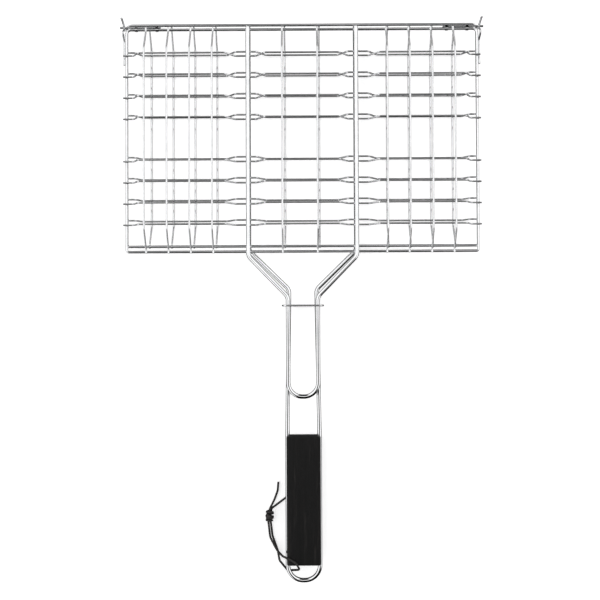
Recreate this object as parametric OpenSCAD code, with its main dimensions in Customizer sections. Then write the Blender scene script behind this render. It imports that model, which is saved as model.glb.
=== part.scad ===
// Hinged grill basket: two bulged wire grids, a long handle with a wooden grip on the lower one,
// a short handle on the upper one, and a locking ring that slides along both handles.
// Millimetres. X is across the basket, +Y is the hinge side, +Z is up. The basket lies closed on the floor.

/* [Basket] */
// Outer width of each grid over its frame wire
basket_w = 397; // [300:1:500]
// Outer depth of each grid over its frame wire
basket_d = 252.6; // [180:0.1:350]
// How much narrower the upper grid is, to pass between the hinge racks
upper_narrower = 0.8; // [0.6:0.1:3]
// How far the upper grid sits toward the handle
upper_offset = 6.2; // [4:0.1:12]
// Bend radius of the frame corners at the hinge side
frame_corner_r = 5; // [4:0.5:20]
// Bend radius of the frame corners at the handle side
near_corner_r = 2.5; // [2:0.5:20]
// How far each grid bulges away from its frame
bulge = 11; // [6:0.5:25]

/* [Wires] */
// Frame wire diameter
frame_wire_d = 3; // [2:0.1:5]
// Diameter of the long and cross wires
grid_wire_d = 2; // [1.5:0.1:3]
// Handle wire diameter
handle_wire_d = 5; // [4:0.1:8]
// Depth that a spot weld sinks one wire into another
weld_sink = 0.15; // [0.05:0.01:0.2]
// Bend radius of the long and cross wires
grid_bend_r = 3; // [2:0.5:5]

/* [Grid layout] */
// Long wires beside the middle, distance from the centre
middle_wire_x = 19.5; // [12:0.5:30]
// Innermost long wire of each outer group, distance from the centre
group_start_x = 97; // [85:0.5:110]
// Pitch of the long wires in each outer group
group_pitch = 25; // [15:0.5:40]
// Long wires in each outer group
group_wires = 4; // [2:1:6]
// Pitch of the cross wires
row_pitch = 23.75; // [15:0.25:35]
// Cross wires on each side of the open middle row
side_rows = 4; // [2:1:6]
// How far the upper grid's long wires sit off its frame's centre
upper_wire_shift = -2.6; // [-5:0.1:5]
// Length of each long wire's ramp up to the bulge
long_ramp = 21; // [12:0.5:30]

/* [Cross wire bends] */
// Handle wire to the top of a cross wire's ramp, toward the middle bay
inner_ramp_top = 19; // [16:0.5:24]
// Handle wire to the foot of the same ramp
inner_ramp_foot = 9; // [6:0.5:12]
// Handle wire to the top of a cross wire's ramp, toward the outer bay
outer_ramp_top = 25; // [22:0.5:30]
// Handle wire to the foot of the same ramp
outer_ramp_foot = 14.5; // [8:0.5:16]
// Frame wire to the top of a cross wire's ramp
side_ramp_top = 15; // [14:0.5:20]
// Frame wire to the foot of the same ramp
side_ramp_foot = 8.5; // [7:0.5:11]

/* [Handles] */
// Handle wires in the basket, distance from the centre
handle_x = 60.4; // [50:0.1:75]
// Long handle legs at the grip, distance from the centre
long_leg_x = 18; // [14:0.1:25]
// Long handle legs below the diagonals, distance from the centre
long_leg_top_x = 15.4; // [12:0.1:17.5]
// Short handle legs, distance from the centre
short_leg_x = 16.6; // [10:0.1:17]
// Far end of the long handle's hanging loop, distance from the basket centre
long_reach = 501.5; // [400:0.1:600]
// Far end of the short handle, distance from the basket centre
short_reach = 295; // [240:1:320]
// Bend radius at the handle's diagonals
handle_bend_r = 10; // [6:0.5:20]

/* [Grip] */
// Basket centre to the grip's near end
grip_start = 337.2; // [300:0.1:400]
// Grip length
grip_l = 143.2; // [100:0.1:200]
// Grip width
grip_w = 38.2; // [30:0.1:50]
// Grip thickness
grip_t = 16; // [12:0.5:22]
// Radius of the grip's corners, seen from above
grip_corner_r = 1.5; // [1:0.5:8]
// Play between grip and handle wire
grip_fit = 0.05; // [0.02:0.01:0.2]

/* [Hinge] */
// Hinge rod and rack wire diameter
hinge_wire_d = 2.4; // [2:0.1:4]
// Inner end of each hinge rod, distance from the centre
rod_inner_x = 158; // [140:1:180]
// Outer end of each hinge rod past the rack
rod_overhang = 4.2; // [3:0.1:8]
// Radial play of the rod in its rack
rod_play = 0.1; // [0.05:0.01:0.3]
// Foot of each rack, distance from the basket centre
rack_foot_y = 80; // [60:0.1:95]

/* [Locking ring] */
// Ring wire diameter
ring_wire_d = 2; // [1.5:0.1:3]
// Ring position, distance from the basket centre
ring_y = 191.5; // [186:0.5:280]
// Play between the ring and the handle wires
ring_play = 0.3; // [0.2:0.05:1]

/* [Lanyard] */
// Lace diameter
lace_d = 2.4; // [1.5:0.1:4]

/* [Hidden] */
$fn = 24;
frame_r = frame_wire_d / 2;
grid_r = grid_wire_d / 2;
handle_r = handle_wire_d / 2;
hinge_r = hinge_wire_d / 2;
ring_r = ring_wire_d / 2;
lace_r = lace_d / 2;
// Bends are this much fuller than the straight wire, which keeps each joint between the two clean
swell = 0.01;
lap = 0.1;
touch = 0.02;

// Heights from each frame's centre plane, outward
grid_on_frame = frame_r + grid_r - weld_sink;
handle_on_frame = frame_r + handle_r - weld_sink;
cross_under_handle = handle_on_frame - handle_r - grid_r + weld_sink;
cross_raised = cross_under_handle + bulge;
long_raised = grid_on_frame + bulge;

lower_z = long_raised + grid_r + swell;
upper_z = lower_z + frame_wire_d + 0.3;
half_x = basket_w / 2 - frame_r;
half_y = basket_d / 2 - frame_r;
upper_half_x = half_x - upper_narrower / 2;

rod_y = half_y - upper_offset + frame_r + hinge_r + touch;
rack_x = half_x + frame_r + hinge_r + touch;
seat_r = 2 * hinge_r + rod_play;

// The rack's outline in its own plane [y, z]: ridge, seat round the rod, and tip
ridge = [rod_y - 7, upper_z + 5.4];
tip = [rod_y + 5.8, upper_z + 7.2];
function tangent(p, side) = let (v = [rod_y, upper_z] - p)
  atan2(v[1], v[0]) + side * asin(seat_r / norm(v));
down_a = tangent(ridge, -1);
up_a = tangent(tip, 1);
// Where the lines down from the ridge and from the tip meet, under the seat
meet = let (d = [cos(down_a), sin(down_a)], e = [cos(up_a), sin(up_a)], w = tip - ridge)
  ridge + d * ((w[0] * e[1] - w[1] * e[0]) / (d[0] * e[1] - d[1] * e[0]));
tip_end = [rack_x + 0.4, tip[0] + 1.2, tip[1] + 3.9];
tip_dir = unit(tip_end - [rack_x, tip[0], tip[1]]);
far_reach = tip_end[1] + hinge_r * sqrt(1 - tip_dir[1] * tip_dir[1]);
// The part's origin is under the middle of its whole length
centre_y = (long_reach + swell - far_reach) / 2;

long_xs = concat([-middle_wire_x, middle_wire_x], [for (s = [-1, 1], i = [0:group_wires - 1])
  s * (group_start_x + i * group_pitch)]);
row_ys = [for (s = [-1, 1], i = [1:side_rows]) s * i * row_pitch];

function unit(v) = v / norm(v);
function at(p, i) = let (q = p[(i + len(p)) % len(p)]) [q[0], q[1], q[2]];
function turn(p, i) = acos(max(-1, min(1, unit(at(p, i) - at(p, i - 1)) * unit(at(p, i + 1) - at(p, i)))));
function inner(p, i, closed) = closed || (i > 0 && i < len(p) - 1);
function setback(p, i, closed) = inner(p, i, closed) ? p[i][3] * tan(turn(p, i) / 2) : 0;
function columns(a, b, c, t) = [[a[0], b[0], c[0], t[0]], [a[1], b[1], c[1], t[1]],
  [a[2], b[2], c[2], t[2]], [0, 0, 0, 1]];

module rod_between(a, b, d) {
  c = unit(b - a);
  e = unit(cross(abs(c[2]) < 0.9 ? [0, 0, 1] : [1, 0, 0], c));
  multmatrix(columns(e, cross(c, e), c, a)) cylinder(d = d, h = norm(b - a));
}

module bend(before, here, after, r, d) {
  u = unit(here - before);
  v = unit(after - here);
  a = acos(u * v);
  c = here + unit(v - u) * r / cos(a / 2);
  start = here - u * r * tan(a / 2);
  multmatrix(columns(unit(start - c), u, unit(cross(u, v)), c))
    rotate_extrude(angle = a) translate([r, 0]) circle(d = d + 2 * swell);
}

// A round wire through corner points, each [x, y, z, bend radius]
module bent_wire(p, d, closed = false) {
  n = len(p);
  for (i = [0:n - (closed ? 1 : 2)]) {
    j = (i + 1) % n;
    u = unit(at(p, j) - at(p, i));
    rod_between(at(p, i) + u * (setback(p, i, closed) - (inner(p, i, closed) ? lap : 0)),
      at(p, j) - u * (setback(p, j, closed) - (inner(p, j, closed) ? lap : 0)), d);
  }
  for (i = [0:n - 1]) if (inner(p, i, closed)) bend(at(p, i - 1), at(p, i), at(p, i + 1), p[i][3], d);
}

module placed() { translate([0, centre_y, 0]) children(); }

// side is -1 for the lower grid, whose wires bulge down, and 1 for the upper grid
module frame(hx, y0, z) {
  bent_wire([[hx, y0 + half_y, z, frame_corner_r], [-hx, y0 + half_y, z, frame_corner_r],
    [-hx, y0 - half_y, z, near_corner_r], [hx, y0 - half_y, z, near_corner_r]], frame_wire_d, true);
}

module long_wire(x, y0, z, side) {
  out = z + side * long_raised;
  on = z + side * grid_on_frame;
  end = half_y + frame_r + 0.5;
  foot = half_y - 3;
  bent_wire([[x, y0 + end, on, 0], [x, y0 + foot, on, grid_bend_r],
    [x, y0 + foot - long_ramp, out, grid_bend_r], [x, y0 - foot + long_ramp, out, grid_bend_r],
    [x, y0 - foot, on, grid_bend_r], [x, y0 - end, on, 0]], grid_wire_d);
}

module cross_wire(y, z, side, hx, end) {
  out = z + side * cross_raised;
  on = z + side * grid_on_frame;
  dip = z + side * cross_under_handle;
  half = [[handle_x - inner_ramp_top, out], [handle_x - inner_ramp_foot, dip], [handle_x + outer_ramp_foot, dip],
    [handle_x + outer_ramp_top, out], [hx - side_ramp_top, out], [hx - side_ramp_foot, on]];
  right = [for (q = half) [q[0], y, q[1], grid_bend_r]];
  left = [for (i = [5:-1:0]) [-half[i][0], y, half[i][1], grid_bend_r]];
  bent_wire(concat([[-end, y, on, 0]], left, right, [[end, y, on, 0]]), grid_wire_d);
}

// top_x is where the legs leave the diagonals; legs that end wider straighten a little before the grip
module handle_wire(top_x, leg_x, far_y, bend_y, diagonal_y, reach, z) {
  u_r = leg_x - 1;
  half = concat([[handle_x, far_y, z, 0], [handle_x, bend_y, z, handle_bend_r], [top_x, diagonal_y, z, handle_bend_r]],
    top_x == leg_x ? [] : [[leg_x, 4 - grip_start, z, 150]], [[leg_x, -reach + handle_r, z, u_r]]);
  last = len(half) - 1;
  bent_wire(concat(half, [for (i = [last:-1:0]) [-half[i][0], half[i][1], z, half[i][3]]]), handle_wire_d);
}

module lower_frame() { color("silver") placed() frame(half_x, 0, lower_z); }
module upper_frame() { color("silver") placed() frame(upper_half_x, -upper_offset, upper_z); }
module lower_long_wire(i) { color("silver") placed() long_wire(long_xs[i - 1], 0, lower_z, -1); }
module upper_long_wire(i) {
  color("silver") placed() long_wire(long_xs[i - 1] + upper_wire_shift, -upper_offset, upper_z, 1);
}
module lower_cross_wire(i) {
  color("silver") placed() cross_wire(row_ys[i - 1], lower_z, -1, half_x, half_x + frame_r);
}
module upper_cross_wire(i) {
  color("silver") placed() cross_wire(row_ys[i - 1] - upper_offset, upper_z, 1, upper_half_x, upper_half_x + 3.4);
}

module lower_handle_wire() {
  color("silver") placed()
    handle_wire(long_leg_top_x, long_leg_x, half_y + frame_r + 0.5, -half_y - 4.5, -half_y - 48.6, long_reach,
      lower_z - handle_on_frame);
}
module upper_handle_wire() {
  color("silver") placed()
    handle_wire(short_leg_x, short_leg_x, half_y - upper_offset + frame_r + 0.5, -half_y - 11.5, -half_y - 57,
      short_reach, upper_z + handle_on_frame);
}

module rack(side) {
  x = side * rack_x;
  bent_wire([[x + side * 0.4, rack_foot_y, lower_z, 0], [x, rack_foot_y + 5, lower_z, 4],
    [x, rod_y - 14, lower_z, 4], [x, ridge[0], ridge[1], 2.6], [x, meet[0], meet[1], seat_r],
    [x, tip[0], tip[1], 4], [side * tip_end[0], tip_end[1], tip_end[2], 0]], hinge_wire_d);
}
module rack_left() { color("silver") placed() rack(-1); }
module rack_right() { color("silver") placed() rack(1); }

module hinge_rod(side) {
  rod_between([side * rod_inner_x, rod_y, upper_z], [side * (rack_x + rod_overhang), rod_y, upper_z], hinge_wire_d);
}
module hinge_rod_left() { color("silver") placed() hinge_rod(-1); }
module hinge_rod_right() { color("silver") placed() hinge_rod(1); }

// The outline of a strip drawn tight round the rod and the frame's far edge, grown by t
module strip_outline(t) {
  gap = frame_r + hinge_r + touch;
  a = acos((frame_r - hinge_r) / gap);
  p = [for (s = [-1, 1]) (hinge_r + t) * [cos(a), s * sin(a)]];
  q = [for (s = [-1, 1]) (frame_r + t) * [cos(a), s * sin(a)]];
  circle(r = hinge_r + t);
  translate([-gap, 0]) circle(r = frame_r + t);
  polygon([[p[0][0], p[0][1]], [p[1][0], p[1][1]], [q[1][0] - gap, q[1][1]], [q[0][0] - gap, q[0][1]]]);
}
module rod_clips(side) {
  for (x = [rod_inner_x + 4.5, rod_inner_x + 27.5]) translate([side * x, rod_y, upper_z])
    multmatrix([[0, 0, 1, -1.5], [1, 0, 0, 0], [0, 1, 0, 0], [0, 0, 0, 1]]) difference() {
      linear_extrude(3) strip_outline(0.62);
      translate([0, 0, -1]) linear_extrude(5) strip_outline(0.02);
    }
}
module rod_clips_left() { color("silver") placed() rod_clips(-1); }
module rod_clips_right() { color("silver") placed() rod_clips(1); }

module locking_ring() {
  hx = long_leg_x + handle_r + 1 + ring_r;
  low = lower_z - handle_on_frame - handle_r - ring_play - ring_r;
  high = upper_z + handle_on_frame + handle_r + ring_play + ring_r;
  color("silver") placed() bent_wire([[hx, -ring_y, high, 5], [-hx, -ring_y, high, 5],
    [-hx, -ring_y, low, 5], [hx, -ring_y, low, 5]], ring_wire_d, true);
}

module rounded(w, h, r) {
  square([w - 2 * r, h], center = true);
  square([w, h - 2 * r], center = true);
  for (x = [-1, 1], y = [-1, 1]) translate([x * (w / 2 - r), y * (h / 2 - r)]) circle(r);
}
module grip() {
  mid = -grip_start - grip_l / 2;
  z = lower_z - handle_on_frame;
  color("DimGray") placed() difference() {
    intersection() {
      translate([0, mid, z]) multmatrix([[1, 0, 0, 0], [0, 0, 1, -grip_l], [0, 1, 0, 0], [0, 0, 0, 1]])
        linear_extrude(2 * grip_l) rounded(grip_w, grip_t, 2.2);
      translate([0, mid, z - grip_t]) linear_extrude(2 * grip_t) rounded(grip_w, grip_l, grip_corner_r);
    }
    grip_groove(z);
  }
}
// The handle wire again, fuller by the play, from before the grip to past its far end
module grip_groove(z) {
  y1 = -grip_start + 3;
  y2 = -long_reach + handle_r;
  bent_wire([[long_leg_x, y1, z, 0], [long_leg_x, y2, z, long_leg_x - 1], [-long_leg_x, y2, z, long_leg_x - 1],
    [-long_leg_x, y1, z, 0]], handle_wire_d + 2 * grip_fit);
}

grip_end = -grip_start - grip_l;
wire_z = lower_z - handle_on_frame;
over_wire = wire_z + handle_r + lace_r + 0.1;
under_wire = wire_z - handle_r - lace_r - 0.3;
over_grip = wire_z + grip_t / 2 + lace_r + 0.1;
on_floor = lace_r + 0.05;
knot = [-38.6, grip_end + 51.9, 4.75];
knot_half = 7;
// Clear of the knot's ends, past the slant of each strand's cut end
loop_gap = 0.3;
tail_gap = 0.7;

// Both strands from the knot, once through the hanging loop and round the handle wire
module lanyard_loop() {
  color("#222222") placed() bent_wire([
    [knot[0] - 1.4, knot[1] - knot_half - loop_gap, knot[2], 0], [-38.2, grip_end + 26.9, on_floor + 1.2, 12],
    [-30.6, grip_end + 13.6, on_floor + 4.6, 8], [-23.6, grip_end + 10.4, over_grip - 2.2, 2.6],
    [-19, grip_end + 9.2, over_grip + 0.3, 3], [-8.8, grip_end + 3.2, over_grip, 3],
    [-5.4, grip_end - 2.6, over_grip + 0.4, 2.6], [-6.4, grip_end - 8.6, 6.4, 3.4],
    [-18.4, grip_end - 9.2, under_wire - 0.6, 5], [-27.6, grip_end + 1.5, under_wire - 1.6, 6],
    [-29.8, grip_end + 12.4, on_floor + 0.3, 8], [-35.6, grip_end + 28.5, on_floor + 0.3, 12],
    [knot[0] + 1.2, knot[1] - knot_half - loop_gap, knot[2] - 1.2, 0]], lace_d);
}
module lanyard_tail_long() {
  color("#222222") placed() bent_wire([[knot[0] + 0.2, knot[1] + knot_half + tail_gap, knot[2] + 0.2, 0],
    [-33, grip_end + 69.8, on_floor, 10], [-29.6, grip_end + 79.2, on_floor, 10],
    [-28.8, grip_end + 89, on_floor, 0]], lace_d);
}
module lanyard_tail_short() {
  color("#222222") placed() bent_wire([[knot[0] + 2.2, knot[1] + knot_half + tail_gap, knot[2] - 2.2, 0],
    [-30.7, grip_end + 63.5, on_floor, 6], [-12, grip_end + 77.5, on_floor, 0]], lace_d);
}
module lanyard_knot() {
  color("#222222") placed() translate(knot)
    multmatrix([[1, 0, 0, 0], [0, 0, 1, 0], [0, -1, 0, 0], [0, 0, 0, 1]]) rotate_extrude() {
      for (y = [-4.8, -1.6, 1.6, 4.8]) translate([2.7, y]) circle(1.9);
      translate([0, -knot_half]) square([2.8, 2 * knot_half]);
    }
}

wire_names = [for (side = ["lower", "upper"], kind = ["long", "cross"],
  i = [1:kind == "long" ? len(long_xs) : len(row_ys)]) str(side, "_", kind, "_wire_", i)];

lower_frame();
lower_handle_wire();
rack_left();
rack_right();
grip();
upper_frame();
upper_handle_wire();
hinge_rod_left();
hinge_rod_right();
rod_clips_left();
rod_clips_right();
locking_ring();
lanyard_loop();
lanyard_tail_long();
lanyard_tail_short();
lanyard_knot();
for (i = [1:len(long_xs)]) {
  lower_long_wire(i);
  upper_long_wire(i);
}
for (i = [1:len(row_ys)]) {
  lower_cross_wire(i);
  upper_cross_wire(i);
}
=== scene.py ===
"""Looks for the hinged grill basket: chrome wires with spot welds, a stained wooden grip and a leather lace.

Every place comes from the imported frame's boxes. The sizes below that a box can't give are part.scad's own.
Metres, X across the basket, +Y the hinge side, +Z up.
"""

import math

import bpy

from mathutils import Matrix, Vector


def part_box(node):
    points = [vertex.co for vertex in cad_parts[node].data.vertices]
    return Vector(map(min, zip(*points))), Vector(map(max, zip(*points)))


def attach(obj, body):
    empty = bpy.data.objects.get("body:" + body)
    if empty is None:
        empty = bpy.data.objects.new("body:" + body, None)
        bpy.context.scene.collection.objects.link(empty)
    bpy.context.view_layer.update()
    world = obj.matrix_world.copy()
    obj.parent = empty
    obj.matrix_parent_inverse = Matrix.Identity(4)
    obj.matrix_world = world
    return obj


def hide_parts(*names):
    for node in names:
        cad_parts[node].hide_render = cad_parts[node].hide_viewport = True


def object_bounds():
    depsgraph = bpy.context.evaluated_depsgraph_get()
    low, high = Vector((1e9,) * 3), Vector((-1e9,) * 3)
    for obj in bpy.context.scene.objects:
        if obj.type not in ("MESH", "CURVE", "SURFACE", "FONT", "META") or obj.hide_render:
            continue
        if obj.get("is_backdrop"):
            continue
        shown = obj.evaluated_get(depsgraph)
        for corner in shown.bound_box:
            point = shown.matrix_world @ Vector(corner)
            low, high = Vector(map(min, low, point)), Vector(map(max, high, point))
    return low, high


MM = 0.001

# part.scad's sizes
GRID_R = 1.0 * MM
FRAME_R = 1.5 * MM
HANDLE_R = 2.5 * MM
HINGE_R = 1.2 * MM
RING_R = 1.0 * MM
RING_BEND = 5 * MM
LACE_R = 1.2 * MM
GRID_BEND = 3 * MM
FRAME_CORNERS = (5 * MM, 2.5 * MM)  # hinge side, handle side
HANDLE_BEND = 10 * MM
LONG_FOOT = 3 * MM
LONG_RAMP = 21 * MM
HANDLE_X = 60.4 * MM
INNER_RAMP = (19 * MM, 9 * MM)  # a cross wire's ramp: its top and foot, from the handle wire
OUTER_RAMP = (25 * MM, 14.5 * MM)
SIDE_RAMP = (15 * MM, 8.5 * MM)  # the same, from the frame wire
ON_FRAME_BELOW_DIP = 1.85 * MM
LEG_X = {"lower": (15.4 * MM, 18 * MM), "upper": (16.6 * MM, 16.6 * MM)}  # below the diagonals, at the end
HANDLE_BEND_Y = {"lower": (4.5 * MM, 48.6 * MM), "upper": (11.5 * MM, 57 * MM)}  # past the lower frame's near wire
LEG_STRAIGHT = 4 * MM  # before the grip
LEG_STRAIGHT_BEND = 150 * MM
RACK_CORNERS = {"ridge": (-7.0, 5.4), "tip": (5.8, 7.2), "tip_end": (7.0, 11.1)}  # from the rod's axis, mm
SEAT_R = 2.5 * MM
RACK_OUT = 0.4 * MM

SIDES = {"lower": -1, "upper": 1}
BODY = {"lower": "lower_grid", "upper": "upper_grid"}

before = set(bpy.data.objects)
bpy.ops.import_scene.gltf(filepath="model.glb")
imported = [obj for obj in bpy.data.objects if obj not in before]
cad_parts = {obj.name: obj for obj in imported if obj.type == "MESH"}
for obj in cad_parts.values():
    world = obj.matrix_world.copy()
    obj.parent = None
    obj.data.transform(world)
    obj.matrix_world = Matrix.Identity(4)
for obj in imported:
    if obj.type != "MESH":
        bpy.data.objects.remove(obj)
cad_low, cad_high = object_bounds()


def centre(node):
    low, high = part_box(node)
    return (low + high) / 2


# ---------------------------------------------------------------- camera
# Fitted to the photograph: it looks almost straight down
camera_data = bpy.data.cameras.new("camera")
camera_data.lens = 43.3
camera = bpy.data.objects.new("camera", camera_data)
camera.location = (-0.0024, -0.01155, 0.8234)
camera.rotation_euler = (0.0152, 0.0011, -0.0046)
bpy.context.scene.collection.objects.link(camera)
bpy.context.scene.camera = camera
bpy.context.scene.view_settings.view_transform = "Standard"


# ---------------------------------------------------------------- materials
def new_material(name):
    m = bpy.data.materials.new(name)
    m.use_nodes = True
    tree = m.node_tree
    return m, tree, tree.nodes["Principled BSDF"]


def node(tree, kind, inputs=(), **settings):
    n = tree.nodes.new(kind)
    for k, v in settings.items():
        setattr(n, k, v)
    for k, v in dict(inputs).items():
        n.inputs[k].default_value = v
    return n


def noise(tree, scale, detail=3.0, roughness=0.5, stretch=(1, 1, 1)):
    """Noise over the piece's own coordinates, in metres, drawn out by 1 / stretch."""
    coords = node(tree, "ShaderNodeTexCoord")
    mapping = node(tree, "ShaderNodeMapping", {"Scale": stretch})
    n = node(tree, "ShaderNodeTexNoise", {"Scale": scale, "Detail": detail, "Roughness": roughness})
    tree.links.new(coords.outputs["Object"], mapping.inputs["Vector"])
    tree.links.new(mapping.outputs["Vector"], n.inputs["Vector"])
    return n.outputs["Fac"]


def ramp(tree, factor, stops):
    n = node(tree, "ShaderNodeValToRGB")
    while len(n.color_ramp.elements) < len(stops):
        n.color_ramp.elements.new(0.5)
    for e, (at, colour) in zip(n.color_ramp.elements, stops, strict=True):
        e.position = at
        e.color = (*colour, 1)
    tree.links.new(factor, n.inputs["Fac"])
    return n.outputs["Color"]


def maths(tree, operation, a, b):
    n = node(tree, "ShaderNodeMath", operation=operation)
    tree.links.new(a, n.inputs[0])
    tree.links.new(b, n.inputs[1])
    return n.outputs[0]


def span(tree, factor, low, high):
    n = node(tree, "ShaderNodeMapRange", {"To Min": low, "To Max": high})
    tree.links.new(factor, n.inputs["Value"])
    return n.outputs["Result"]


def bump(tree, shader, height, strength, distance):
    n = node(tree, "ShaderNodeBump", {"Strength": strength, "Distance": distance})
    tree.links.new(height, n.inputs["Height"])
    tree.links.new(n.outputs["Normal"], shader.inputs["Normal"])


def chrome(name, light, dark, rough):
    """Bright plated wire: faint cloudy variation in colour and roughness, and a very fine drawn surface."""
    m, tree, shader = new_material(name)
    shader.inputs["Metallic"].default_value = 1.0
    cloud = noise(tree, 90, 4)
    tree.links.new(ramp(tree, cloud, [(0.3, dark), (0.65, light)]), shader.inputs["Base Color"])
    tree.links.new(span(tree, noise(tree, 260, 5, 0.6), rough * 0.6, rough * 1.5), shader.inputs["Roughness"])
    bump(tree, shader, noise(tree, 1500, 2), 0.035, 0.0001)
    return m


def stained_wood():
    """Black-stained wood: long fine pores and streaks along the grip, under a thin worn sheen."""
    m, tree, shader = new_material("black_wood")
    streaks = noise(tree, 900, 6, 0.65, (1, 0.035, 1))
    pores = noise(tree, 2600, 3, 0.7, (1, 0.02, 1))
    bands = noise(tree, 160, 3, 0.5, (1, 0.06, 1))
    stain = [(0.12, (0.002, 0.002, 0.002)), (0.3, (0.0055, 0.005, 0.005)), (0.42, (0.024, 0.022, 0.020))]
    colour = ramp(tree, maths(tree, "MULTIPLY", streaks, bands), stain)
    tree.links.new(colour, shader.inputs["Base Color"])
    shader.inputs["Specular IOR Level"].default_value = 0.28
    tree.links.new(span(tree, pores, 0.62, 0.36), shader.inputs["Roughness"])
    bump(tree, shader, maths(tree, "ADD", streaks, pores), 0.5, 0.0003)
    return m


def leather():
    """Black lace: worn lighter in patches, with a fine grain."""
    m, tree, shader = new_material("lace")
    wear = noise(tree, 420, 5, 0.6)
    colour = ramp(tree, wear, [(0.35, (0.010, 0.009, 0.009)), (0.7, (0.045, 0.041, 0.038))])
    tree.links.new(colour, shader.inputs["Base Color"])
    tree.links.new(span(tree, wear, 0.45, 0.7), shader.inputs["Roughness"])
    grain = node(tree, "ShaderNodeTexVoronoi", {"Scale": 2200.0})
    coords = node(tree, "ShaderNodeTexCoord")
    tree.links.new(coords.outputs["Object"], grain.inputs["Vector"])
    bump(tree, shader, grain.outputs["Distance"], 0.5, 0.0002)
    return m


MATERIALS = {
    "heavy_wire": chrome("heavy_wire", (0.93, 0.93, 0.94), (0.84, 0.85, 0.86), 0.05),
    "grid_wire": chrome("grid_wire", (0.91, 0.91, 0.92), (0.80, 0.81, 0.82), 0.06),
    "hinge_wire": chrome("hinge_wire", (0.88, 0.88, 0.89), (0.76, 0.77, 0.78), 0.08),
    "ring": chrome("ring", (0.91, 0.91, 0.92), (0.80, 0.81, 0.82), 0.06),
    "black_wood": stained_wood(),
    "lace": leather(),
}
WELD = chrome("weld", (0.80, 0.79, 0.78), (0.58, 0.57, 0.56), 0.2)


def filleted(corners, step=0.14, closed=False):
    """The line through corner points (x, y, z, bend radius), with each corner rounded."""
    points = [Vector(c[:3]) for c in corners]
    n = len(points)
    line = []
    for i, here in enumerate(points):
        if not closed and i in (0, n - 1):
            line.append(here)
            continue
        into = (here - points[i - 1]).normalized()
        out = (points[(i + 1) % n] - here).normalized()
        angle = into.angle(out)
        r = corners[i][3]
        if angle < 1e-3:
            continue
        middle = here + (out - into).normalized() * r / math.cos(angle / 2)
        first = here - into * r * math.tan(angle / 2) - middle
        axis = into.cross(out)
        steps = max(2, math.ceil(angle / step))
        line += [middle + Matrix.Rotation(angle * k / steps, 3, axis) @ first for k in range(steps + 1)]
    return line


def piece(name, vertices, faces):
    mesh = bpy.data.meshes.new(name)
    mesh.from_pydata([tuple(v) for v in vertices], [], faces)
    mesh.validate()
    mesh.update()
    mesh.shade_smooth()
    mesh.set_sharp_from_angle(angle=math.radians(38))
    o = bpy.data.objects.new(name, mesh)
    bpy.context.scene.collection.objects.link(o)
    return o


def finish_piece(o, slot, body, *nodes):
    o.data.materials.append(MATERIALS[slot])
    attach(o, body)
    if nodes:
        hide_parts(*nodes)
    return o


# ---------------------------------------------------------------- lace
GRIP_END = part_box("grip")[0].y
WIRE_Z = centre("lower_handle_wire").z
GRIP_HALF = 8 * MM  # half its thickness
LACE_GAP = 0.1 * MM
over_grip = WIRE_Z + GRIP_HALF + LACE_R + LACE_GAP
under_wire = WIRE_Z - HANDLE_R - LACE_R - 0.3 * MM
on_floor = LACE_R + 0.05 * MM
KNOT_Y = 51.9  # mm past the grip's end
KNOT = Vector((-38.6 * MM, GRIP_END + KNOT_Y * MM, 4.75 * MM))
LOOP_START, TAIL_START = 7.3, 7.7  # mm from the knot's middle to where the strands start


def route(*corners):
    """Corner points as part.scad has them: x and bend radius in mm, y in mm past the grip's end, z in metres."""
    return [(x * MM, GRIP_END + y * MM, z, r * MM) for x, y, z, r in corners]


def lace(name, corners, **facts):
    line = filleted(corners, 0.12)
    curve = bpy.data.curves.new(name, "CURVE")
    curve.dimensions = "3D"
    spline = curve.splines.new("POLY")
    spline.points.add(len(line) - 1)
    for point, place in zip(spline.points, line, strict=True):
        point.co = (*place, 1)
    curve.bevel_depth = LACE_R
    curve.bevel_resolution = 4
    curve.use_fill_caps = True
    o = bpy.data.objects.new(name, curve)
    bpy.context.scene.collection.objects.link(o)
    finish_piece(o, "lace", "lower_grid", name.replace("lace", "lanyard"))
    return o


def around(count, turn=0.0):
    """The angles of count points spread round a circle."""
    return [2 * math.pi * k / count + turn for k in range(count)]


def ring_faces(rows, sides, first=0, closed=False):
    """The faces between each ring of vertices and the next."""
    faces = []
    for i in range(rows if closed else rows - 1):
        a, b = first + i * sides, first + (i + 1) % rows * sides
        faces += [(a + k, a + (k + 1) % sides, b + (k + 1) % sides, b + k) for k in range(sides)]
    return faces


def strand(line, radius, sides=12):
    """The vertices and faces of a round strand along a line, its ends closed."""
    vertices = []
    side = None
    for i, here in enumerate(line):
        t = (line[min(i + 1, len(line) - 1)] - line[max(i - 1, 0)]).normalized()
        side = t.orthogonal().normalized() if side is None else (side - t * side.dot(t)).normalized()
        other = t.cross(side)
        vertices += [here + (side * math.cos(a) + other * math.sin(a)) * radius for a in around(sides)]
    faces = ring_faces(len(line), sides)
    faces.append(tuple(reversed(range(sides))))
    faces.append(tuple((len(line) - 1) * sides + k for k in range(sides)))
    return vertices, faces


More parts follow.
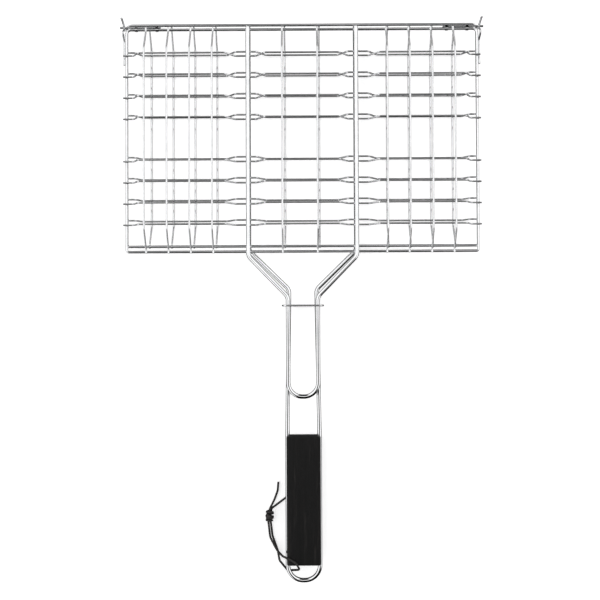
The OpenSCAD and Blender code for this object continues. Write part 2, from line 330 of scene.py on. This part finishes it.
LOOP_Y, TAIL_Y = KNOT_Y - LOOP_START, KNOT_Y + TAIL_START
LOOP = route(
    (-40, LOOP_Y, KNOT.z, 0), (-38.2, 26.9, on_floor + 1.2 * MM, 12), (-30.6, 13.6, on_floor + 4.6 * MM, 8),
    (-23.6, 10.4, over_grip - 2.2 * MM, 2.6), (-19, 9.2, over_grip + 0.3 * MM, 3), (-8.8, 3.2, over_grip, 3),
    (-5.4, -2.6, over_grip + 0.4 * MM, 2.6), (-6.4, -8.6, 6.4 * MM, 3.4), (-18.4, -9.2, under_wire - 0.6 * MM, 5),
    (-27.6, 1.5, under_wire - 1.6 * MM, 6), (-29.8, 12.4, on_floor + 0.3 * MM, 8),
    (-35.6, 28.5, on_floor + 0.3 * MM, 12), (-37.4, LOOP_Y, KNOT.z - 1.2 * MM, 0),
)
TAIL_LONG = route(
    (-38.4, TAIL_Y, KNOT.z + 0.2 * MM, 0), (-33, 69.8, on_floor, 10),
    (-29.6, 79.2, on_floor, 10), (-28.8, 89, on_floor, 0),
)
TAIL_SHORT = route((-36.4, TAIL_Y, KNOT.z - 2.2 * MM, 0), (-30.7, 63.5, on_floor, 6), (-12, 77.5, on_floor, 0))


def wrap(start, turns, width, tall, rise, tight):
    """A strand's centreline round the knot, at a slant, from start (in turns); tight draws its ends in."""
    line = []
    for k in range(81):
        t = k / 80
        a = 2 * math.pi * (start + turns * t)
        out = 1 - tight * (2 * t - 1) ** 2
        y = rise[0] + (rise[1] - rise[0]) * t + 0.7 * MM * math.sin(a + 0.8)
        line.append(KNOT + Vector((width * out * math.cos(a), y, tall * out * math.sin(a))))
    return line


# The knot's wraps: start and number of turns, half-width, half-height, rise and tightness, then the strand's radius
WRAPS = (
    ((0.05, 1.5, 3.6 * MM, 3.4 * MM, (-5.6 * MM, -1.4 * MM), 0.16), 1.22 * MM),
    ((0.55, 1.6, 3.7 * MM, 3.4 * MM, (-2.8 * MM, 2.6 * MM), 0.04), 1.24 * MM),
    ((0.3, 1.5, 3.5 * MM, 3.4 * MM, (1.2 * MM, 5.8 * MM), 0.18), 1.2 * MM),
)


def knot():
    """A knot in both strands: they run in at one end and out at the other, under slanting wraps."""
    ends = [(LOOP[0], TAIL_LONG[0]), (LOOP[-1], TAIL_SHORT[0])]
    strands = []
    for (a, b), lean in zip(ends, (0.5, -0.5), strict=True):
        a, b = Vector(a[:3]), Vector(b[:3])
        side = Vector((lean * MM, 0, lean * MM))
        strands.append(([a.lerp(b, k / 24) + side * math.sin(math.pi * k / 24) for k in range(25)], LACE_R))
    strands += [(wrap(*shape), r) for shape, r in WRAPS]
    vertices, faces = [], []
    for line, r in strands:
        v, f = strand(line, r)
        faces += [tuple(i + len(vertices) for i in q) for q in f]
        vertices += v
    return finish_piece(piece("lace_knot", vertices, faces), "lace", "lower_grid", "lanyard_knot")


lace_knot = knot()
lace("lace_loop", LOOP, far_end="knot", with_pieces=[lace_knot])
lace("lace_tail_long", TAIL_LONG, far_end="bare")
lace("lace_tail_short", TAIL_SHORT, far_end="bare")


# ---------------------------------------------------------------- wires
def tube(name, line, radius, sides=16, closed=False, chamfer=0.25):
    """A swept round wire, with slightly chamfered cut ends."""
    n = len(line)
    if closed:
        tangents = [(line[(i + 1) % n] - line[i - 1]).normalized() for i in range(n)]
    else:
        tangents = [(line[min(i + 1, n - 1)] - line[max(i - 1, 0)]).normalized() for i in range(n)]
    up = Vector((0, 0, 1)) if abs(tangents[0].z) < 0.9 else Vector((1, 0, 0))
    side = up.cross(tangents[0]).normalized()
    rings = []
    for i in range(n):
        side = (side - tangents[i] * side.dot(tangents[i])).normalized()
        rings.append((line[i], tangents[i], side, radius))
    if not closed:
        cut = radius * chamfer
        p, t, s, _ = rings[0]
        rings[0] = (p + t * cut, t, s, radius)
        rings.insert(0, (p, t, s, radius - cut))
        p, t, s, _ = rings[-1]
        rings[-1] = (p - t * cut, t, s, radius)
        rings.append((p, t, s, radius - cut))
    vertices = []
    for p, t, s, r in rings:
        other = t.cross(s)
        vertices += [p + (s * math.cos(a) + other * math.sin(a)) * r for a in around(sides)]
    count = len(rings)
    faces = ring_faces(count, sides, closed=closed)
    if not closed:
        faces.append(tuple(reversed(range(sides))))
        faces.append(tuple((count - 1) * sides + k for k in range(sides)))
    return piece(name, vertices, faces)


# Where two crossing wires meet: a place and the nugget's size, gathered while the wires are made
welds = {"lower": [], "upper": []}


def weld(side, x, y, z_a, r_a, z_b, r_b):
    z = z_a + (z_b - z_a) * r_a / (r_a + r_b)
    welds[side].append((Vector((x, y, z)), min(r_a, r_b)))


frames = {}
for side in SIDES:
    low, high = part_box(f"{side}_frame")
    x, z = high.x - FRAME_R, (low.z + high.z) / 2
    near, far = low.y + FRAME_R, high.y - FRAME_R
    frames[side] = (x, near, far, z)
    loop = [(sx * x, y, z, r) for y, r, turn in zip((far, near), FRAME_CORNERS, (1, -1)) for sx in (turn, -turn)]
    o = tube(f"{side}_frame_wire", filleted(loop, 0.1, True), FRAME_R, 20, True)
    finish_piece(o, "heavy_wire", BODY[side], f"{side}_frame")

long_x = {"lower": [], "upper": []}
for side, way in SIDES.items():
    frame_x, near, far, frame_z = frames[side]
    handle_low, handle_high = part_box(f"{side}_handle_wire")
    handle_z = (handle_low.z + handle_high.z) / 2
    for i in range(1, 11):
        low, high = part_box(f"{side}_long_wire_{i}")
        x = (low.x + high.x) / 2
        on, out = (high.z - GRID_R, low.z + GRID_R) if way < 0 else (low.z + GRID_R, high.z - GRID_R)
        foot = far - LONG_FOOT, near + LONG_FOOT
        corners = [
            (x, high.y, on, 0), (x, foot[0], on, GRID_BEND), (x, foot[0] - LONG_RAMP, out, GRID_BEND),
            (x, foot[1] + LONG_RAMP, out, GRID_BEND), (x, foot[1], on, GRID_BEND), (x, low.y, on, 0),
        ]
        o = tube(f"{side}_long_{i}", filleted(corners), GRID_R)
        finish_piece(o, "grid_wire", BODY[side], f"{side}_long_wire_{i}")
        long_x[side].append((x, out))
        for y in (near, far):
            weld(side, x, y, frame_z, FRAME_R, on, GRID_R)
    for i in range(1, 9):
        low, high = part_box(f"{side}_cross_wire_{i}")
        y = (low.y + high.y) / 2
        dip, out = (high.z - GRID_R, low.z + GRID_R) if way < 0 else (low.z + GRID_R, high.z - GRID_R)
        on = dip + way * ON_FRAME_BELOW_DIP
        half = [
            (HANDLE_X - INNER_RAMP[0], out), (HANDLE_X - INNER_RAMP[1], dip), (HANDLE_X + OUTER_RAMP[1], dip),
            (HANDLE_X + OUTER_RAMP[0], out), (frame_x - SIDE_RAMP[0], out), (frame_x - SIDE_RAMP[1], on),
        ]
        corners = [(low.x, y, on, 0)] + [(-x, y, z, GRID_BEND) for x, z in reversed(half)]
        corners += [(x, y, z, GRID_BEND) for x, z in half] + [(high.x, y, on, 0)]
        o = tube(f"{side}_cross_{i}", filleted(corners), GRID_R)
        finish_piece(o, "grid_wire", BODY[side], f"{side}_cross_wire_{i}")
        for s in (-1, 1):
            weld(side, s * frame_x, y, frame_z, FRAME_R, on, GRID_R)
            weld(side, s * HANDLE_X, y, handle_z, HANDLE_R, dip, GRID_R)
        for x, long_out in long_x[side]:
            weld(side, x, y, out, GRID_R, long_out, GRID_R)
    # the handle wire: over the frame, together along two diagonals, then two legs and a round end
    leg_top, leg = LEG_X[side]
    bend_y, diagonal_y = (frames["lower"][1] - past for past in HANDLE_BEND_Y[side])
    end_y = handle_low.y + HANDLE_R
    half = [(HANDLE_X, handle_high.y, 0), (HANDLE_X, bend_y, HANDLE_BEND), (leg_top, diagonal_y, HANDLE_BEND)]
    if leg != leg_top:
        half.append((leg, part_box("grip")[1].y + LEG_STRAIGHT, LEG_STRAIGHT_BEND))
    half.append((leg, end_y, leg - MM))
    corners = [(x, y, handle_z, r) for x, y, r in half] + [(-x, y, handle_z, r) for x, y, r in reversed(half)]
    o = tube(f"{side}_handle", filleted(corners, 0.08), HANDLE_R, 28)
    finish_piece(o, "heavy_wire", BODY[side], f"{side}_handle_wire")
    for s in (-1, 1):
        for y in (near, far):
            weld(side, s * HANDLE_X, y, frame_z, FRAME_R, handle_z, HANDLE_R)

# ---------------------------------------------------------------- hinge
rod_y, rod_z = centre("hinge_rod_left").y, centre("hinge_rod_left").z


def tangent_angle(point, turn):
    """The direction from point to the rod that just clears the seat's centreline on one side."""
    away = Vector((-point[0], -point[1]))
    return math.atan2(away.y, away.x) + turn * math.asin(SEAT_R / away.length)


def rack_profile():
    """The rack's corners in its own plane, from the rod's axis: ridge, under the seat, tip and tip's end."""
    ridge, tip, tip_end = (Vector(RACK_CORNERS[k]) * MM for k in ("ridge", "tip", "tip_end"))
    down, up = tangent_angle(ridge, -1), tangent_angle(tip, 1)
    d, e, w = Vector((math.cos(down), math.sin(down))), Vector((math.cos(up), math.sin(up))), tip - ridge
    meet = ridge + d * ((w.x * e.y - w.y * e.x) / (d.x * e.y - d.y * e.x))
    return ridge, meet, tip, tip_end


for hand, s in (("left", -1), ("right", 1)):
    low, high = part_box(f"rack_{hand}")
    x = (high.x if s < 0 else low.x) + s * HINGE_R
    leg_z = frames["lower"][3]
    ridge, meet, tip, tip_end = rack_profile()
    corners = [
        (x + s * RACK_OUT, low.y, leg_z, 0), (x, low.y + 5 * MM, leg_z, 4 * MM), (x, rod_y - 14 * MM, leg_z, 4 * MM),
        (x, rod_y + ridge.x, rod_z + ridge.y, 2.6 * MM), (x, rod_y + meet.x, rod_z + meet.y, SEAT_R),
        (x, rod_y + tip.x, rod_z + tip.y, 4 * MM), (x + s * RACK_OUT, rod_y + tip_end.x, rod_z + tip_end.y, 0),
    ]
    o = tube(f"hinge_rack_{hand}", filleted(corners, 0.12), HINGE_R, 18)
    finish_piece(o, "hinge_wire", "lower_grid", f"rack_{hand}")
    low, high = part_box(f"hinge_rod_{hand}")
    ends = [Vector((low.x, rod_y, rod_z)), Vector((high.x, rod_y, rod_z))]
    rod_line = [ends[0].lerp(ends[1], k / 12) for k in range(13)]
    finish_piece(tube(f"hinge_pin_{hand}", rod_line, HINGE_R, 18), "hinge_wire", "upper_grid", f"hinge_rod_{hand}")
    # the clips keep their CAD shape
    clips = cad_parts[f"rod_clips_{hand}"]
    clips.data.materials.clear()
    clips.data.materials.append(MATERIALS["hinge_wire"])


# ---------------------------------------------------------------- locking ring
low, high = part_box("locking_ring")
x, y = high.x - RING_R, (low.y + high.y) / 2
top, bottom = high.z - RING_R, low.z + RING_R
corners = [(sx * x, y, z, RING_BEND) for sx, z in ((1, top), (-1, top), (-1, bottom), (1, bottom))]
finish_piece(tube("lock_ring", filleted(corners, 0.1, True), RING_R, 18, True), "ring", "locking_ring", "locking_ring")


# ---------------------------------------------------------------- welds
def nuggets(side):
    """One low squashed bead at every crossing, where the two wires have melted together."""
    vertices, faces = [], []
    sides, rows = 12, 5
    for index, (place, r) in enumerate(welds[side]):
        wide = r * (0.92 + 0.10 * math.sin(index * 2.4))
        tall = r * 0.62
        turn = index * 0.7
        start = len(vertices)
        for j in range(1, rows):
            lift = math.pi * (j / rows - 0.5)
            for a in around(sides, turn):
                out = math.cos(lift) * wide * (1 + 0.06 * math.sin(3 * a + index))
                vertices.append(place + Vector((math.cos(a) * out, math.sin(a) * out, math.sin(lift) * tall)))
        vertices += [place - Vector((0, 0, tall)), place + Vector((0, 0, tall))]
        faces += ring_faces(rows - 1, sides, start)
        last = start + (rows - 2) * sides
        faces += [(start + (k + 1) % sides, start + k, len(vertices) - 2) for k in range(sides)]
        faces += [(last + k, last + (k + 1) % sides, len(vertices) - 1) for k in range(sides)]
    o = piece(f"{side}_welds", vertices, faces)
    o.data.materials.append(WELD)
    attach(o, BODY[side])


for side in SIDES:
    nuggets(side)


# ---------------------------------------------------------------- grip
def grip():
    """The wooden block: rounded in section, with rounded plan corners and eased ends."""
    low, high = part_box("grip")
    middle = (low + high) / 2
    half = (high - low) / 2
    long_r, plan_r, ease = 2.2 * MM, 1.5 * MM, 0.8 * MM
    stations = []
    for k in range(9):
        t = plan_r * (1 - math.cos(k / 8 * math.pi / 2))
        inset = plan_r - math.sqrt(max(0, plan_r**2 - (plan_r - t) ** 2))
        drop = ease - math.sqrt(max(0, ease**2 - max(0, ease - t) ** 2)) if t < ease else 0
        stations.append((t, inset, drop))
    length = 2 * half.y
    inner = [(plan_r + (length - 2 * plan_r) * k / 24, 0, 0) for k in range(1, 24)]
    stations = stations + inner + [(length - t, i, d) for t, i, d in reversed(stations)]
    vertices, faces = [], []
    arc, flat = 5, 6
    for t, inset, drop in stations:
        hx, hz = half.x - inset, half.z - drop
        ring = []
        signs = ((1, 1), (-1, 1), (-1, -1), (1, -1))

        def on_corner(q, quarters):
            """A point on the rounded long edge number q, at an angle counted in quarter turns."""
            sx, sz = signs[q % 4]
            a = math.pi / 2 * quarters
            return Vector((sx * (hx - long_r), sz * (hz - long_r))) + Vector((math.cos(a), math.sin(a))) * long_r

        for q in range(4):
            ring += [on_corner(q, q + k / arc) for k in range(arc + 1)]
            after = on_corner(q + 1, q + 1)
            ring += [ring[-1].lerp(after, k / flat) for k in range(1, flat)]
        vertices += [Vector((middle.x + p.x, low.y + t, middle.z + p.y)) for p in ring]
        n = len(ring)
    for i in range(len(stations) - 1):
        a, b = i * n, (i + 1) * n
        faces += [(a + (k + 1) % n, a + k, b + k, b + (k + 1) % n) for k in range(n)]
    faces.append(tuple(range(n)))
    faces.append(tuple((len(stations) - 1) * n + k for k in reversed(range(n))))
    o = piece("wooden_grip", vertices, faces)
    return finish_piece(o, "black_wood", "lower_grid", "grip")


grip()


# ---------------------------------------------------------------- studio
def stage_piece(name, vertices, faces):
    """A shape of the studio: the camera and diffuse light see it, and the chrome reflects the world instead."""
    mesh = bpy.data.meshes.new(name)
    mesh.from_pydata(vertices, [], faces)
    o = bpy.data.objects.new(name, mesh)
    bpy.context.scene.collection.objects.link(o)
    o.visible_glossy = False
    o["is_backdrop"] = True
    return o


ROOM = 8.0
FLOOR_GAP = 0.3 * MM  # keeps the wires' undersides out of the floor
floor_corners = [(-ROOM, -ROOM, 0), (ROOM, -ROOM, 0), (ROOM, ROOM, 0), (-ROOM, ROOM, 0)]
floor = stage_piece("floor", floor_corners, [(0, 1, 2, 3)])
floor.location.z = cad_low.z - FLOOR_GAP
m, tree, shader = new_material("floor")
shader.inputs["Base Color"].default_value = (0.92, 0.92, 0.92, 1)
shader.inputs["Roughness"].default_value = 0.9
shader.inputs["Specular IOR Level"].default_value = 0.0
shader.inputs["Emission Color"].default_value = (1, 1, 1, 1)
shader.inputs["Emission Strength"].default_value = 0.62
floor.data.materials.append(m)

# A pale wall all round, for the camera only
WALL_SIDES, WALL_Z = 48, (-0.01, 9.0)
ring = [(ROOM * math.cos(a), ROOM * math.sin(a)) for a in around(WALL_SIDES)]
wall = stage_piece("wall", [(x, y, z) for z in WALL_Z for x, y in ring], ring_faces(2, WALL_SIDES))
m, tree, shader = new_material("wall")
tree.nodes.clear()
glow = node(tree, "ShaderNodeEmission", {"Color": (1, 1, 1, 1), "Strength": 1.0})
out = node(tree, "ShaderNodeOutputMaterial")
tree.links.new(glow.outputs[0], out.inputs["Surface"])
wall.data.materials.append(m)
wall.visible_diffuse = False
wall.visible_shadow = False

# The surround that the chrome reflects: a bright room with a dark zone on the handle's side, and a grey table
BRIGHT, DARK, TABLE = 1.12, 0.003, 0.13
world = bpy.data.worlds.new("studio")
bpy.context.scene.world = world
world.use_nodes = True
tree = world.node_tree
tree.nodes.clear()
coords = node(tree, "ShaderNodeTexCoord")
axes = node(tree, "ShaderNodeSeparateXYZ")
tree.links.new(coords.outputs["Generated"], axes.inputs[0])


def edge(axis, none, full):
    """0 at none and 1 at full, smoothly, along one axis of the direction."""
    n = node(tree, "ShaderNodeMapRange", {"From Min": none, "From Max": full}, interpolation_type="SMOOTHSTEP")
    tree.links.new(axes.outputs[axis], n.inputs["Value"])
    return n.outputs["Result"]


def times(a, b):
    return maths(tree, "MULTIPLY", a, b)


def mixed(factor, a, b):
    """a where factor is 0 and b where it is 1; a is a number or a node's output."""
    n = node(tree, "ShaderNodeMix", {"A": a} if isinstance(a, float) else {}, data_type="FLOAT")
    n.inputs["B"].default_value = b
    if not isinstance(a, float):
        tree.links.new(a, n.inputs["A"])
    tree.links.new(factor, n.inputs["Factor"])
    return n.outputs["Result"]


def either(a, b):
    return maths(tree, "MAXIMUM", a, b)


behind = times(edge("Y", 0.38, 0.46), times(edge("X", -0.40, -0.16), edge("X", 0.34, 0.24)))
handle_side = times(edge("Y", 0.05, -0.03), times(edge("X", -0.44, -0.26), edge("X", 0.50, 0.34)))
low_right = times(edge("Y", -0.32, -0.46), times(edge("X", 0.16, 0.30), edge("X", 0.90, 0.76)))
dark_zone = either(either(behind, handle_side), low_right)
level = mixed(edge("Z", 0.10, -0.02), mixed(dark_zone, BRIGHT, DARK), TABLE)
studio = node(tree, "ShaderNodeBackground", {"Strength": 1.0})
tree.links.new(level, studio.inputs["Color"])
out = node(tree, "ShaderNodeOutputWorld")
tree.links.new(studio.outputs[0], out.inputs["Surface"])

low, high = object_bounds()
